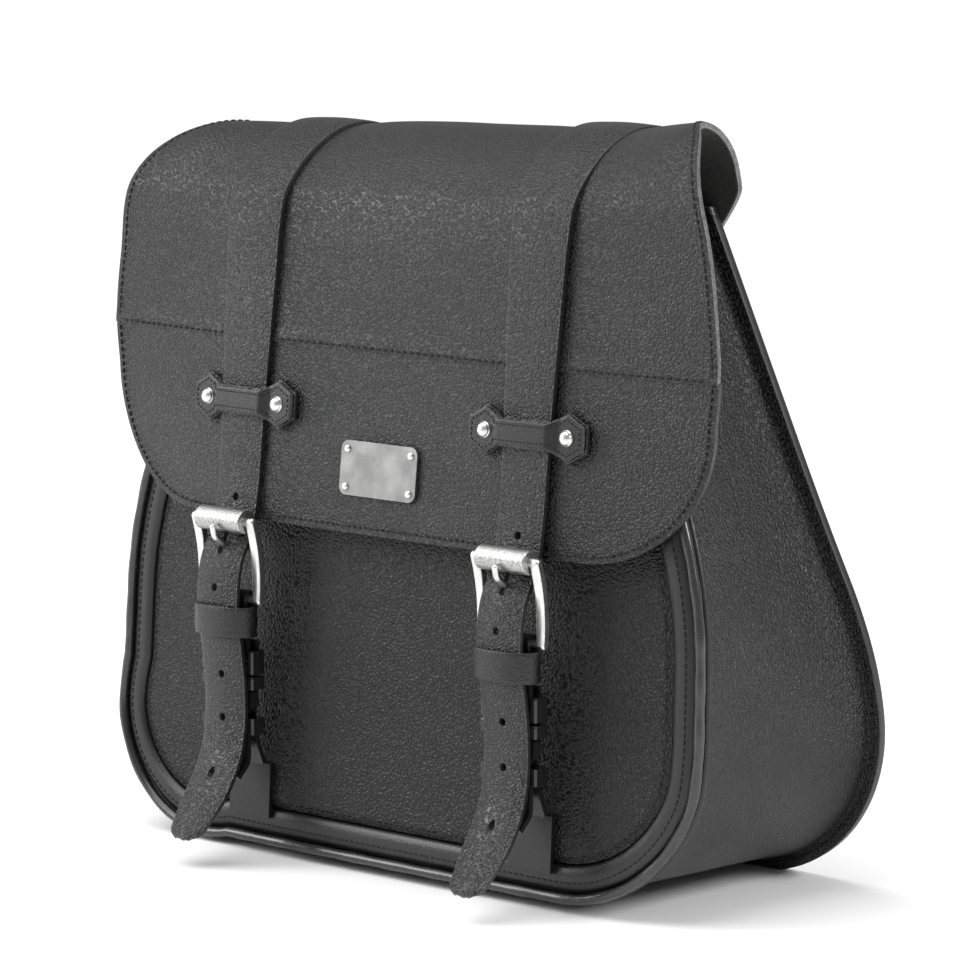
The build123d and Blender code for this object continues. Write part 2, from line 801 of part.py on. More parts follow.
def lower_strap(side, x):
    """The sewn end of the clip's lower strap, flat on the front panel."""
    lift = field_proud + strap_gap + thin_leather / 2
    with BuildLine() as path:
        Line(
            (front_y(lower_strap_bottom_z) - lift, lower_strap_bottom_z),
            (front_y(lower_strap_top_z) - lift, lower_strap_top_z),
        )
    write(strip(path.line, x, 2 * strap_half_width, thin_leather), f"lower_strap_{side}")


for side, x in sides.items():
    buckle_frame(side, x)
    buckle_roller(side, x)
    buckle_prong(side, x)
    buckle_strap(side, x)
    keeper_loop(side, x)
    clip_insert(side, x)
    clip_socket(side, x)
    socket_strap(side, x)
    lower_strap(side, x)
    clip_arm(side, x, "outer" if x > 0 else "inner", 1)
    clip_arm(side, x, "inner" if x > 0 else "outer", -1)
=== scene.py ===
"""Looks of the leather saddlebag: curved leather sheets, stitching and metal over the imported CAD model.

Lengths are in millimetres and turned into metres where a mesh is made. +Z is up and the front faces -Y.
"""

import math

import bpy
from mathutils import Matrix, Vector


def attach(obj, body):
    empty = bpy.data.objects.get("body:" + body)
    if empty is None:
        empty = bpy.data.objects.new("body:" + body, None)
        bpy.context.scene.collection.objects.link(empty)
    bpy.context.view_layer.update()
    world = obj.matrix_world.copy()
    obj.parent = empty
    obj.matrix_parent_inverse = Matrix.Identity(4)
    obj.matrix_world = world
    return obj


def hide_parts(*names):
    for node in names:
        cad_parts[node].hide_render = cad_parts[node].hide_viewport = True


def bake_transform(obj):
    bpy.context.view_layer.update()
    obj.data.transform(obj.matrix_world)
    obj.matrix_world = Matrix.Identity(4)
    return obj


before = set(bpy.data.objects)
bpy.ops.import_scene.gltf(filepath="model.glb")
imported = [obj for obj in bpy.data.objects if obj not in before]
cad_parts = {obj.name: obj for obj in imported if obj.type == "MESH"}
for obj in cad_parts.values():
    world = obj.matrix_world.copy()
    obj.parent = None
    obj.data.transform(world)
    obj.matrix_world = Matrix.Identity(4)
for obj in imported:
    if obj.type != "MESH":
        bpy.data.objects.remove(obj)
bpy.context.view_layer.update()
MM = 0.001
SIDES = {"left": -1, "right": 1}


# ---------------------------------------------------------------- numbers and small tools
def smooth(low, high, value):
    """0 below `low`, 1 above `high`, and an even rise between them."""
    share = min(max((value - low) / (high - low), 0.0), 1.0)
    return share * share * (3.0 - 2.0 * share)


def span(start, end, count):
    """`count` evenly spaced numbers from start to end."""
    return [start + (end - start) * step / (count - 1) for step in range(count)]


def through(points, places):
    """Values of a smooth curve through (place, value) points, at each of the places."""
    values = []
    last = len(points) - 1
    for place in places:
        near = min(max(sum(1 for point in points if point[0] <= place) - 1, 0), last - 1)
        before, start = points[max(near - 1, 0)], points[near]
        end, after = points[near + 1], points[min(near + 2, last)]
        width = end[0] - start[0]
        share = min(max((place - start[0]) / width, 0.0), 1.0)
        slope_in = (end[1] - before[1]) / (end[0] - before[0]) * width
        slope_out = (after[1] - start[1]) / (after[0] - start[0]) * width
        square, cube = share**2, share**3
        values.append(
            (2 * cube - 3 * square + 1) * start[1]
            + (cube - 2 * square + share) * slope_in
            + (3 * square - 2 * cube) * end[1]
            + (cube - square) * slope_out
        )
    return values


def lengths(points):
    """Distance from the first point to each point, along the line through them."""
    total, result = 0.0, [0.0]
    for start, end in zip(points, points[1:]):
        total += (end - start).length
        result.append(total)
    return result


def curve_points(points, spacing):
    """Evenly spaced points along a smooth curve through a few points."""
    places = lengths(points)
    fine = span(0.0, places[-1], int(places[-1] / spacing) + 2)
    axes = []
    for axis in range(3):
        table = [(place, point[axis]) for place, point in zip(places, points)]
        axes.append(through(table, fine))
    return [Vector(values) for values in zip(*axes)]


# ---------------------------------------------------------------- meshes
def mesh_object(name, points, faces):
    """A smooth-shaded object from points in millimetres."""
    mesh = bpy.data.meshes.new(name)
    mesh.from_pydata([Vector(point) * MM for point in points], [], faces)
    mesh.update()
    mesh.shade_smooth()
    piece = bpy.data.objects.new(name, mesh)
    bpy.context.collection.objects.link(piece)
    return piece


def grid(name, rows, loop=False, cuts=None):
    """A mesh of squares through rows of points. `cuts` gives each point's distance from the cut edge."""
    count = len(rows[0])
    faces = []
    for row in range(len(rows) - 1):
        for column in range(count if loop else count - 1):
            beside = (column + 1) % count
            first, second = row * count, (row + 1) * count
            faces.append((first + column, first + beside, second + beside, second + column))
    piece = mesh_object(name, [point for row in rows for point in row], faces)
    if cuts:
        distances = [distance for row in cuts for distance in row]
        layer = piece.data.uv_layers.new(name="cut_distance")
        for corner in piece.data.loops:
            layer.data[corner.index].uv = (distances[corner.vertex_index] / 100.0, 0.0)
    return piece


def fix_modifiers(piece):
    """Replaces a piece's mesh by its shape with the modifiers applied."""
    graph = bpy.context.evaluated_depsgraph_get()
    mesh = bpy.data.meshes.new_from_object(piece.evaluated_get(graph))
    piece.modifiers.clear()
    piece.data = mesh


SHARP_ANGLE = math.radians(55)


def thicken(piece, thickness, materials, edge=0.5, cutters=None):
    """Gives a sheet its thickness below its outer face, then its holes, and rounds its edges by `edge`.

    The materials are those of the outer face, the inner face and the cut edge.
    """
    for material in materials:
        piece.data.materials.append(material)
    solid = piece.modifiers.new("thickness", "SOLIDIFY")
    solid.thickness = thickness * MM
    solid.offset = -1.0
    solid.material_offset = 1
    solid.material_offset_rim = 2
    if cutters:
        cut = piece.modifiers.new("holes", "BOOLEAN")
        cut.object = cutters
        cut.operation = "DIFFERENCE"
        cut.solver = "EXACT"
    rounding = piece.modifiers.new("edge", "BEVEL")
    rounding.width = edge * MM
    rounding.segments = 2
    rounding.limit_method = "ANGLE"
    rounding.angle_limit = SHARP_ANGLE
    rounding.harden_normals = False
    fix_modifiers(piece)
    if cutters:
        bpy.data.objects.remove(cutters)
    return piece


def tube(name, path, radius, sides=12, close=False):
    """A round tube along a path. `radius` is one number, or one for each point."""
    radii = radius if isinstance(radius, list) else [radius] * len(path)
    rows = []
    for index, point in enumerate(path):
        before = path[index - 1] if index or close else point
        after = path[(index + 1) % len(path)] if index + 1 < len(path) or close else point
        along = (after - before).normalized()
        side = along.cross(Vector((0, 1, 0)) if abs(along.y) < 0.9 else Vector((0, 0, 1))).normalized()
        up = side.cross(along)
        ring = []
        for step in range(sides):
            turn = 2 * math.pi * step / sides
            ring.append(point + (side * math.cos(turn) + up * math.sin(turn)) * radii[index])
        rows.append(ring)
    if close:
        rows.append(rows[0])
    return grid(name, rows, loop=True)


def lathe(name, profile, centre, axis, turns=32):
    """A round body: (radius, height) points turned about an axis through `centre`."""
    axis = Vector(axis).normalized()
    side = axis.orthogonal().normalized()
    other = axis.cross(side)
    rows = []
    for radius, height in profile:
        ring = []
        for step in range(turns):
            turn = 2 * math.pi * step / turns
            ring.append(centre + axis * height + (side * math.cos(turn) + other * math.sin(turn)) * radius)
        rows.append(ring)
    return grid(name, rows, loop=True)


def join(name, pieces):
    """Makes one object of several."""
    points, faces, used = [], [], 0
    for piece in pieces:
        points += [vertex.co / MM for vertex in piece.data.vertices]
        faces += [tuple(used + index for index in face.vertices) for face in piece.data.polygons]
        used += len(piece.data.vertices)
        bpy.data.objects.remove(piece)
    return mesh_object(name, points, faces)


# A stitch: its rings as (share of its length from the middle, share of its radius), and points in a ring.
STITCH_RINGS = ((-0.5, 0.35), (-0.42, 0.8), (-0.2, 1.0), (0.2, 1.0), (0.42, 0.8), (0.5, 0.35))
STITCH_SIDES = 6


def stitch_row(name, path, outwards, pitch=3.4, length=2.4, radius=0.42):
    """A row of thread stitches along a path. `outwards` says which way the surface faces at each point."""
    places = lengths(path)
    count = max(int(places[-1] / pitch), 1)
    points, faces = [], []
    for index in range(count):
        middle = (index + 0.5) * places[-1] / count
        after = min(max(sum(1 for place in places if place <= middle), 1), len(path) - 1)
        share = (middle - places[after - 1]) / max(places[after] - places[after - 1], 1e-6)
        centre = path[after - 1].lerp(path[after], share)
        up = outwards[after - 1].lerp(outwards[after], share).normalized()
        along = (path[after] - path[after - 1]).normalized()
        side = along.cross(up).normalized()
        base = len(points)
        for place, size in STITCH_RINGS:
            for step in range(STITCH_SIDES):
                turn = 2 * math.pi * step / STITCH_SIDES
                spread = side * math.cos(turn) + up * math.sin(turn)
                points.append(centre + along * place * length + spread * radius * size)
        last_ring = len(STITCH_RINGS) - 1
        for ring in range(last_ring):
            for step in range(STITCH_SIDES):
                first = base + ring * STITCH_SIDES + step
                second = base + ring * STITCH_SIDES + (step + 1) % STITCH_SIDES
                faces.append((first, second, second + STITCH_SIDES, first + STITCH_SIDES))
        faces.append(tuple(base + step for step in reversed(range(STITCH_SIDES))))
        faces.append(tuple(base + last_ring * STITCH_SIDES + step for step in range(STITCH_SIDES)))
    piece = mesh_object(name, points, faces)
    piece.data.materials.append(THREAD)
    return piece


# ---------------------------------------------------------------- materials
def new_material(name):
    """An empty material with a principled shader: (material, nodes, links, shader)."""
    material = bpy.data.materials.new(name)
    material.use_nodes = True
    nodes, links = material.node_tree.nodes, material.node_tree.links
    return material, nodes, links, nodes["Principled BSDF"]


def add_node(nodes, kind, **inputs):
    """A shader node with some of its inputs set, by name."""
    node = nodes.new(kind)
    for key, value in inputs.items():
        node.inputs[key.replace("_", " ")].default_value = value
    return node


def ramp(nodes, links, source, low, high, dark, light):
    """A colour ramp from `dark` to `light` as the source goes from low to high."""
    node = nodes.new("ShaderNodeValToRGB")
    node.color_ramp.elements[0].position = low
    node.color_ramp.elements[1].position = high
    node.color_ramp.elements[0].color = (*dark, 1.0)
    node.color_ramp.elements[1].color = (*light, 1.0)
    links.new(source, node.inputs["Fac"])
    return node


def remap(nodes, links, source, low, high, start, end):
    """A number that goes from start to end as the source goes from low to high."""
    node = nodes.new("ShaderNodeMapRange")
    for name, value in (("From Min", low), ("From Max", high), ("To Min", start), ("To Max", end)):
        node.inputs[name].default_value = value
    links.new(source, node.inputs["Value"])
    return node.outputs["Result"]


# The Mix node's sockets for colours: it has others of the same names for numbers and vectors.
COLOUR_A, COLOUR_B, COLOUR_OUT = 6, 7, 2


def multiply(nodes, links, first, second, factor):
    """The first colour darkened by the second."""
    node = nodes.new("ShaderNodeMix")
    node.data_type = "RGBA"
    node.blend_type = "MULTIPLY"
    node.inputs["Factor"].default_value = factor
    links.new(first, node.inputs[COLOUR_A])
    links.new(second, node.inputs[COLOUR_B])
    return node.outputs[COLOUR_OUT]


def paint_edge_highlight(nodes, links, colour):
    """The colour, lightened by a painted highlight within a millimetre of the cut edge.

    The cut_distance layer holds the distance from the edge in units of 100 mm.
    """
    distance = nodes.new("ShaderNodeUVMap")
    distance.uv_map = "cut_distance"
    apart = nodes.new("ShaderNodeSeparateXYZ")
    links.new(distance.outputs["UV"], apart.inputs["Vector"])
    # Painted highlight: a lighter grey mixed in along the cut edge, at most half strength.
    node = nodes.new("ShaderNodeMix")
    node.data_type = "RGBA"
    links.new(remap(nodes, links, apart.outputs["X"], 0.003, 0.008, 0.5, 0.0), node.inputs["Factor"])
    links.new(colour, node.inputs[COLOUR_A])
    node.inputs[COLOUR_B].default_value = (0.07, 0.07, 0.07, 1.0)
    return node.outputs[COLOUR_OUT]


def leather(name, dark, light, grain=1.15, depth=0.34, roughness=0.36, contrast=0.7, shine=0.5, edge_highlight=False):
    """Grained leather: pebbles of `grain` mm, `depth` mm deep, with finer pores and slow colour change.

    `contrast` says how much painted shade darkens the valleys between pebbles, and how much darker some of
    the pebbles are.
    """
    material, nodes, links, shader = new_material(name)
    place = nodes.new("ShaderNodeTexCoord").outputs["Object"]

    # Pebbles, on coordinates that wander a little, so that they differ in shape.
    wander = add_node(nodes, "ShaderNodeTexNoise", Scale=420.0, Detail=2.0)
    links.new(place, wander.inputs["Vector"])
    shift = nodes.new("ShaderNodeVectorMath")
    shift.operation = "MULTIPLY_ADD"
    shift.inputs[1].default_value = (0.0012, 0.0012, 0.0009)
    links.new(wander.outputs["Color"], shift.inputs[0])
    links.new(place, shift.inputs[2])
    pebble = add_node(nodes, "ShaderNodeTexVoronoi", Scale=1000.0 / grain)
    pebble.feature = "SMOOTH_F1"
    pebble.inputs["Smoothness"].default_value = 0.25
    links.new(shift.outputs["Vector"], pebble.inputs["Vector"])
    pore = add_node(nodes, "ShaderNodeTexNoise", Scale=2600.0, Detail=3.0)
    links.new(place, pore.inputs["Vector"])
    patch = add_node(nodes, "ShaderNodeTexNoise", Scale=16.0, Detail=4.0)
    links.new(place, patch.inputs["Vector"])

    # Surface: rounded pebbles first, then pores on top of them.
    height = remap(nodes, links, pebble.outputs["Distance"], 0.15, 0.7, 1.0, 0.0)
    bump = add_node(nodes, "ShaderNodeBump", Strength=1.0, Distance=depth * MM)
    links.new(height, bump.inputs["Height"])
    fine = add_node(nodes, "ShaderNodeBump", Strength=0.5, Distance=0.05 * MM)
    links.new(pore.outputs["Fac"], fine.inputs["Height"])
    links.new(bump.outputs["Normal"], fine.inputs["Normal"])
    links.new(fine.outputs["Normal"], shader.inputs["Normal"])

    # Colour: slow patches, painted shade in the valleys between pebbles, and uneven pebbles.
    tone = ramp(nodes, links, patch.outputs["Fac"], 0.35, 0.7, dark, light)
    # Painted shade: the valleys between pebbles are darkened in the colour.
    painted_valley_shade = ramp(nodes, links, height, 0.05, 0.7, (0.1, 0.1, 0.1), (1.0, 1.0, 1.0))
    speck = ramp(nodes, links, pebble.outputs["Color"], 0.3, 0.75, (0.5, 0.5, 0.5), (1.0, 1.0, 1.0))
    colour = multiply(nodes, links, tone.outputs["Color"], painted_valley_shade.outputs["Color"], contrast)
    colour = multiply(nodes, links, colour, speck.outputs["Color"], contrast)
    # Painted highlight along the cut edge, for leathers that ask for it.
    if edge_highlight:
        colour = paint_edge_highlight(nodes, links, colour)
    links.new(colour, shader.inputs["Base Color"])

    rough = remap(nodes, links, patch.outputs["Fac"], 0.3, 0.7, roughness + 0.06, roughness - 0.05)
    links.new(rough, shader.inputs["Roughness"])
    shader.inputs["Specular IOR Level"].default_value = shine
    return material


def plain(name, dark, light, scale, bump_mm, roughness, metallic=0.0, coat=0.0):
    """A material whose colour, surface and roughness follow one noise of the given scale."""
    material, nodes, links, shader = new_material(name)
    place = nodes.new("ShaderNodeTexCoord").outputs["Object"]
    cloud = add_node(nodes, "ShaderNodeTexNoise", Scale=scale, Detail=5.0)
    links.new(place, cloud.inputs["Vector"])
    tone = ramp(nodes, links, cloud.outputs["Fac"], 0.3, 0.7, dark, light)
    links.new(tone.outputs["Color"], shader.inputs["Base Color"])
    bump = add_node(nodes, "ShaderNodeBump", Strength=0.7, Distance=bump_mm * MM)
    links.new(cloud.outputs["Fac"], bump.inputs["Height"])
    links.new(bump.outputs["Normal"], shader.inputs["Normal"])
    rough = remap(nodes, links, cloud.outputs["Fac"], 0.3, 0.7, roughness * 1.15, roughness * 0.85)
    links.new(rough, shader.inputs["Roughness"])
    shader.inputs["Metallic"].default_value = metallic
    shader.inputs["Coat Weight"].default_value = coat
    shader.inputs["Coat Roughness"].default_value = 0.12
    return material


def brushed(name, dark, light, roughness):
    """Metal with fine brush marks along X and slow staining."""
    material, nodes, links, shader = new_material(name)
    place = nodes.new("ShaderNodeTexCoord").outputs["Object"]
    stretch = nodes.new("ShaderNodeMapping")
    stretch.inputs["Scale"].default_value = (60.0, 2500.0, 2500.0)
    links.new(place, stretch.inputs["Vector"])
    marks = add_node(nodes, "ShaderNodeTexNoise", Scale=1.0, Detail=4.0)
    links.new(stretch.outputs["Vector"], marks.inputs["Vector"])
    stain = add_node(nodes, "ShaderNodeTexNoise", Scale=90.0, Detail=3.0)
    links.new(place, stain.inputs["Vector"])
    tone = ramp(nodes, links, stain.outputs["Fac"], 0.35, 0.65, dark, light)
    links.new(tone.outputs["Color"], shader.inputs["Base Color"])
    bump = add_node(nodes, "ShaderNodeBump", Strength=0.35, Distance=0.03 * MM)
    links.new(marks.outputs["Fac"], bump.inputs["Height"])
    links.new(bump.outputs["Normal"], shader.inputs["Normal"])
    rough = remap(nodes, links, marks.outputs["Fac"], 0.3, 0.7, roughness * 1.2, roughness * 0.8)
    links.new(rough, shader.inputs["Roughness"])
    shader.inputs["Metallic"].default_value = 1.0
    return material


BODY = leather("body_leather", (0.007, 0.007, 0.008), (0.018, 0.018, 0.019), depth=0.42, roughness=0.39)
# The front panel's own coarser grain, in a darker tone than the body's leather as painted shade under the
# flap.
SHADED_FIELD = leather(
    "front_leather_painted_shade", (0.005, 0.005, 0.006), (0.012, 0.012, 0.013), grain=1.3, depth=0.46, shine=0.36
)
# The straps' leather, with a painted highlight along its cut edges.
STRAP = leather(
    "strap_leather", (0.008, 0.008, 0.009), (0.018, 0.018, 0.019), grain=1.2, depth=0.4, edge_highlight=True
)
LOOP = leather("loop_leather", (0.010, 0.010, 0.011), (0.020, 0.020, 0.021), grain=1.0, depth=0.14)
SMOOTH = leather(
    "smooth_leather", (0.007, 0.007, 0.008), (0.014, 0.014, 0.015), grain=0.8, depth=0.06, contrast=0.4
)
SUEDE = plain("suede", (0.035, 0.034, 0.033), (0.070, 0.068, 0.066), 900.0, 0.25, 0.9)
# A lighter copy of the dark edge, for the rims of the flap's upper panel and the tabs' top layers: painted
# highlight.
CUT_EDGE_HIGHLIGHT = plain("cut_edge_painted_highlight", (0.05, 0.05, 0.05), (0.14, 0.14, 0.14), 500.0, 0.1, 0.45)
DARK_EDGE = plain("dark_edge", (0.010, 0.010, 0.010), (0.024, 0.024, 0.024), 500.0, 0.1, 0.5)
PIPING = plain("piping_leather", (0.012, 0.012, 0.013), (0.024, 0.024, 0.025), 380.0, 0.12, 0.26, coat=0.3)
THREAD = plain("thread", (0.004, 0.004, 0.004), (0.008, 0.008, 0.008), 1500.0, 0.05, 0.8)
PLASTIC = plain("clip_plastic", (0.010, 0.010, 0.011), (0.014, 0.014, 0.015), 120.0, 0.02, 0.16)
NICKEL = plain("polished_nickel", (0.58, 0.58, 0.57), (0.74, 0.74, 0.73), 150.0, 0.04, 0.3, metallic=1.0)
ROLLER = plain("worn_nickel", (0.18, 0.18, 0.18), (0.62, 0.62, 0.61), 1500.0, 0.12, 0.38, metallic=1.0)
PLATE = brushed("plate_metal", (0.20, 0.20, 0.20), (0.30, 0.30, 0.295), 0.46)
BRASS = plain("eyelet_metal", (0.30, 0.27, 0.21), (0.42, 0.38, 0.30), 300.0, 0.05, 0.38, metallic=1.0)
BOARD = plain("board", (0.030, 0.030, 0.030), (0.045, 0.045, 0.045), 700.0, 0.1, 0.8)
GRAINED = (BODY, SUEDE, DARK_EDGE)

# ---------------------------------------------------------------- shape of the bag
# The front view is a flat bottom, two round corners, two flatter shoulders and two straight leaning sides.
FLAT_HALF, CORNER, SHOULDER, SIDE_LEAN = 102.0, 74.0, 194.0, math.radians(18)
BOTTOM = 6.5
BEND_Z = BOTTOM + CORNER
HALF_WIDEST = FLAT_HALF + CORNER
FRONT_TOP, BACK_TOP = 268.0, 304.0
# How much fuller the front's lower left corner is than its right one.
LEFT_FULL = 9.0

# In the side view the front and the back lean towards each other, and the flap's arch joins them.
FRONT_LEAN, BACK_LEAN, FLAP_LEAN = math.radians(3), math.radians(10), math.radians(6)
FRONT_FOOT, BACK_FOOT = -47.0, 89.0
LEATHER = 3.0
ARCH_Z, ARCH = 299.0, 39.0
ARCH_Y = BACK_FOOT - (ARCH - LEATHER + ARCH_Z * math.sin(BACK_LEAN)) / math.cos(BACK_LEAN)


def outline(grow, top, left_full=0.0):
    """Points (x, 0, z) round the bag's front view, from the top left, down and round to the top right.

    `grow` is a function of the height that says how far a point moves outwards. `left_full` is how
    much fuller the lower left corner is than the right one.
    """
    bend_x = HALF_WIDEST - SHOULDER
    half = [((x, BOTTOM), (0.0, -1.0)) for x in span(0.0, FLAT_HALF, 30)[:-1]]
    for turn in span(-math.pi / 2, 0.0, 34)[:-1]:
        out = (math.cos(turn), math.sin(turn))
        half.append(((FLAT_HALF + CORNER * out[0], BEND_Z + CORNER * out[1]), out))
    for turn in span(0.0, SIDE_LEAN, 22)[:-1]:
        out = (math.cos(turn), math.sin(turn))
        half.append(((bend_x + SHOULDER * out[0], BEND_Z + SHOULDER * out[1]), out))
    out = (math.cos(SIDE_LEAN), math.sin(SIDE_LEAN))
    foot = (bend_x + SHOULDER * out[0], BEND_Z + SHOULDER * out[1])
    for z in span(foot[1], top, 44):
        half.append(((foot[0] - (z - foot[1]) * math.tan(SIDE_LEAN), z), out))
    right, left = [], []
    for (x, z), (out_x, out_z) in half:
        amount = grow(z)
        right.append(Vector((x + out_x * amount, 0.0, z + out_z * amount)))
        amount += left_full * 2.0 * out_x * max(-out_z, 0.0)
        left.append(Vector((-x - out_x * amount, 0.0, z + out_z * amount)))
    return list(reversed(left[1:])) + right


def front_grow(z):
    """How far the front's outline stands from the bag's middle outline: least at the widest height."""
    least, above, below = -1.8, 7.8, 1.8
    return least + above * smooth(88.0, 165.0, z) + below * (1.0 - smooth(50.0, 75.0, z))


def back_grow(z):
    """How far the back edge of the side wall stands from the bag's middle outline: most at its belly."""
    least, belly, belly_z, belly_height = 0.6, 3.4, 88.0, 52.0
    return least + belly * math.exp(-(((z - belly_z) / belly_height) ** 2))


def front_y(x, z):
    """Y of the front's outer face, which curves back towards the sides."""
    curve_back = 4.5
    return FRONT_FOOT + z * math.tan(FRONT_LEAN) + curve_back * abs(x / HALF_WIDEST) ** 2.5


def back_y(z):
    """Y of the back's outer face."""
    return BACK_FOOT - z * math.tan(BACK_LEAN)


def on_front(point, lift):
    """A point of the front view laid on the front face, `lift` in front of it."""
    return Vector((point.x, front_y(point.x, point.z) - lift, point.z))


def front_line(out, top, lift):
    """A line round the front, `out` outside its outline and `lift` in front of its face."""
    return [on_front(point, lift) for point in outline(lambda z: front_grow(z) + out, top, LEFT_FULL)]


# Width of the smooth band round the front, and how far each stitch row lies in from the front's outline.
BAND_WIDTH, BAND_STITCHES, FIELD_STITCHES = 15.0, 7.0, 17.6
# The band's section: (distance from the front's outline, height over the front).
BAND_SECTION = (
    (-14.6, -1.6),
    (-14.3, 0.2),
    (-13.2, 1.2),
    (-10.5, 1.7),
    (-7.5, 1.75),
    (-5.2, 1.3),
    (-3.6, 0.4),
    (-2.4, -0.9),
)


def front_field():
    """The grained front panel, slightly full, with its edge turned down into the seam."""
    loop = outline(lambda z: front_grow(z) - BAND_WIDTH, FRONT_TOP, LEFT_FULL)
    top_right, top_left = loop[-1], loop[0]
    loop += [top_right.lerp(top_left, share) for share in span(0.0, 1.0, 60)[1:-1]]
    middle = Vector((0.0, 0.0, 132.0))
    full, roll_depth, edge_lift = 1.6, 1.5, -0.6
    rows = []
    for share in (1.0, 0.996, 0.99, 0.98, 0.965, 0.945, 0.92) + tuple(span(0.88, 0.02, 26)):
        lift = edge_lift + full * (1.0 - share**2) + roll_depth * (1.0 - smooth(0.972, 1.0, share))
        rows.append([on_front(middle.lerp(point, share), lift) for point in loop])
    piece = grid("front_field", rows, loop=True)

    # The rings end in one point in the middle.
    centre = len(piece.data.vertices)
    points = [vertex.co / MM for vertex in piece.data.vertices]
    points.append(on_front(middle, edge_lift + full + roll_depth))
    faces = [tuple(face.vertices) for face in piece.data.polygons]
    last = centre - len(loop)
    faces += [(last + step, last + (step + 1) % len(loop), centre) for step in range(len(loop))]
    bpy.data.objects.remove(piece)
    piece = mesh_object("front_field", points, faces)
    thicken(piece, 2.6, (SHADED_FIELD, SUEDE, DARK_EDGE), edge=0.3)
    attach(piece, "bag")
    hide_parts("front_panel")


def front_band():
    """The smooth band round the front, rolled over towards the piping, and its two stitch rows."""
    rows = []
    for inset, lift in BAND_SECTION:
        rows.append(front_line(inset, FRONT_TOP - 0.5, lift))
    piece = grid("front_band", list(reversed(rows)))
    thicken(piece, 2.0, (SMOOTH, SUEDE, DARK_EDGE), edge=0.2)
    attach(piece, "bag")
    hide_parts("front_border")

    outwards = Vector((0.0, -math.cos(FRONT_LEAN), math.sin(FRONT_LEAN)))
    row = front_line(-BAND_STITCHES, FRONT_TOP - 4.0, 1.72)
    thread = stitch_row("front_stitches", row, [outwards] * len(row), pitch=3.3)
    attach(thread, "bag")
    row = front_line(-FIELD_STITCHES, FRONT_TOP - 4.0, 1.2)
    thread = stitch_row("field_stitches", row, [outwards] * len(row), pitch=3.3, radius=0.3)
    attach(thread, "bag")


def piping():
    """The glossy cord round the front edge, and the side wall's own rolled edge behind it."""
    path = front_line(0.2, FRONT_TOP - 1.0, 0.9)
    radii = [2.35 + 0.12 * math.sin(index * 0.9) for index in range(len(path))]
    cord = tube("piping_cord", path, radii)
    cord.data.materials.append(PIPING)
    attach(cord, "bag")
    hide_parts("front_piping")
    roll = tube("side_wall_roll", front_line(0.5, FRONT_TOP - 1.0, -3.4), 1.9)
    roll.data.materials.append(SMOOTH)
    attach(roll, "bag")


# How far the side wall's flange lies in front of the back face, and its lowest points over the floor.
FLANGE_AHEAD, FLOOR_GAP = 6.4, 0.3


def side_wall():
    """The gusset: one strip from the front seam to the back, where it flares out into a flange."""
    wall_rows, flange_rows, flange_step = 44, 2, 3.2
    front_end, back_end = FRONT_TOP - 4.0, BACK_TOP - 6.0
    rows = []
    for step in range(wall_rows + 1 + flange_rows):
        share = min(step / wall_rows, 1.0)
        towards_back = smooth(0.0, 1.0, share)
        turned = max(step - wall_rows, 0) * flange_step
        sink = 2.6 * math.sin(math.pi * share) ** 1.5
        seam_inset = 1.2 * (1.0 - share)
        flare = 1.2 * smooth(0.80, 1.0, share)

        def grow(z):
            wall = front_grow(z) * (1.0 - towards_back) + back_grow(z) * towards_back
            return wall - sink * smooth(10.0, 60.0, z) + flare + turned - seam_inset

        row = []
        for point in outline(grow, front_end + (back_end - front_end) * share, LEFT_FULL * (1.0 - share)):
            start = front_y(point.x, point.z) + LEATHER
            end = back_y(point.z) - FLANGE_AHEAD
            ripple = 0.35 * math.sin(point.z * 0.06 + share * 9.0) * math.sin(math.pi * share)
            x = point.x + math.copysign(ripple, point.x)
            row.append(Vector((x, start + (end - start) * share, max(point.z, FLOOR_GAP))))
        rows.append(row)
    piece = grid("side_wall", list(reversed(rows)))
    thicken(piece, 2.4, GRAINED, edge=0.4)
    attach(piece, "bag")
    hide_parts("gusset")


# The back edge's section: (distance from the side wall's back edge, distance behind the back face).
BACK_EDGE_SECTION = (
    (-10.0, -6.0),
    (1.0, -6.0),
    (5.6, -5.9),
    (6.6, -5.2),
    (7.0, -3.4),
    (6.8, -1.4),
    (6.0, -0.2),
    (-4.0, 0.25),
    (-10.0, 0.3),
)


def back_line(out, top, behind):
    """A line round the back, `out` outside the side wall's back edge and `behind` the back face."""
    ring = outline(lambda z: back_grow(z) + out, top)
    return [Vector((point.x, back_y(point.z) + behind, point.z)) for point in ring]


def back_edge():
    """The thick sewn edge round the back, behind the side wall's flange, and the stitches on the flange."""
    rows = []
    for out, behind in BACK_EDGE_SECTION:
        line = back_line(out, BACK_TOP - 2.0, behind)
        rows.append([Vector((point.x, point.y, max(point.z, 0.0))) for point in line])
    rows.append(rows[0])
    piece = grid("back_edge", rows)
    piece.data.materials.append(SMOOTH)
    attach(piece, "bag")
    row = back_line(4.0, BACK_TOP - 8.0, -FLANGE_AHEAD - 0.2)
    forwards = Vector((0.0, -math.cos(BACK_LEAN), -math.sin(BACK_LEAN)))
    thread = stitch_row("back_stitches", row, [forwards] * len(row), pitch=3.6, length=2.7, radius=0.5)
    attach(thread, "bag")


front_field()
front_band()
piping()
side_wall()
back_edge()

# ---------------------------------------------------------------- flap
FRONT_END = (math.pi / 2 - FLAP_LEAN) * ARCH
REAR_END = -(math.pi / 2 - BACK_LEAN) * ARCH
FRONT_END_Z = ARCH_Z + ARCH * math.sin(FLAP_LEAN)
REAR_END_Z = ARCH_Z + ARCH * math.sin(BACK_LEAN)
FLAP_BOTTOM, FLAP_CORNER, FLAP_HALF = 156.0, 62.0, 180.5
FLAP_THICK = 2.8
SEAM_Z = 237.0
STRAP_X = 86.0


def flap_reach(z):
    """Distance along the flap from the top of the arch down the front to height z."""
    return FRONT_END + (FRONT_END_Z - z) / math.cos(FLAP_LEAN)


FLAP_CORNER_REACH = flap_reach(FLAP_BOTTOM + FLAP_CORNER)
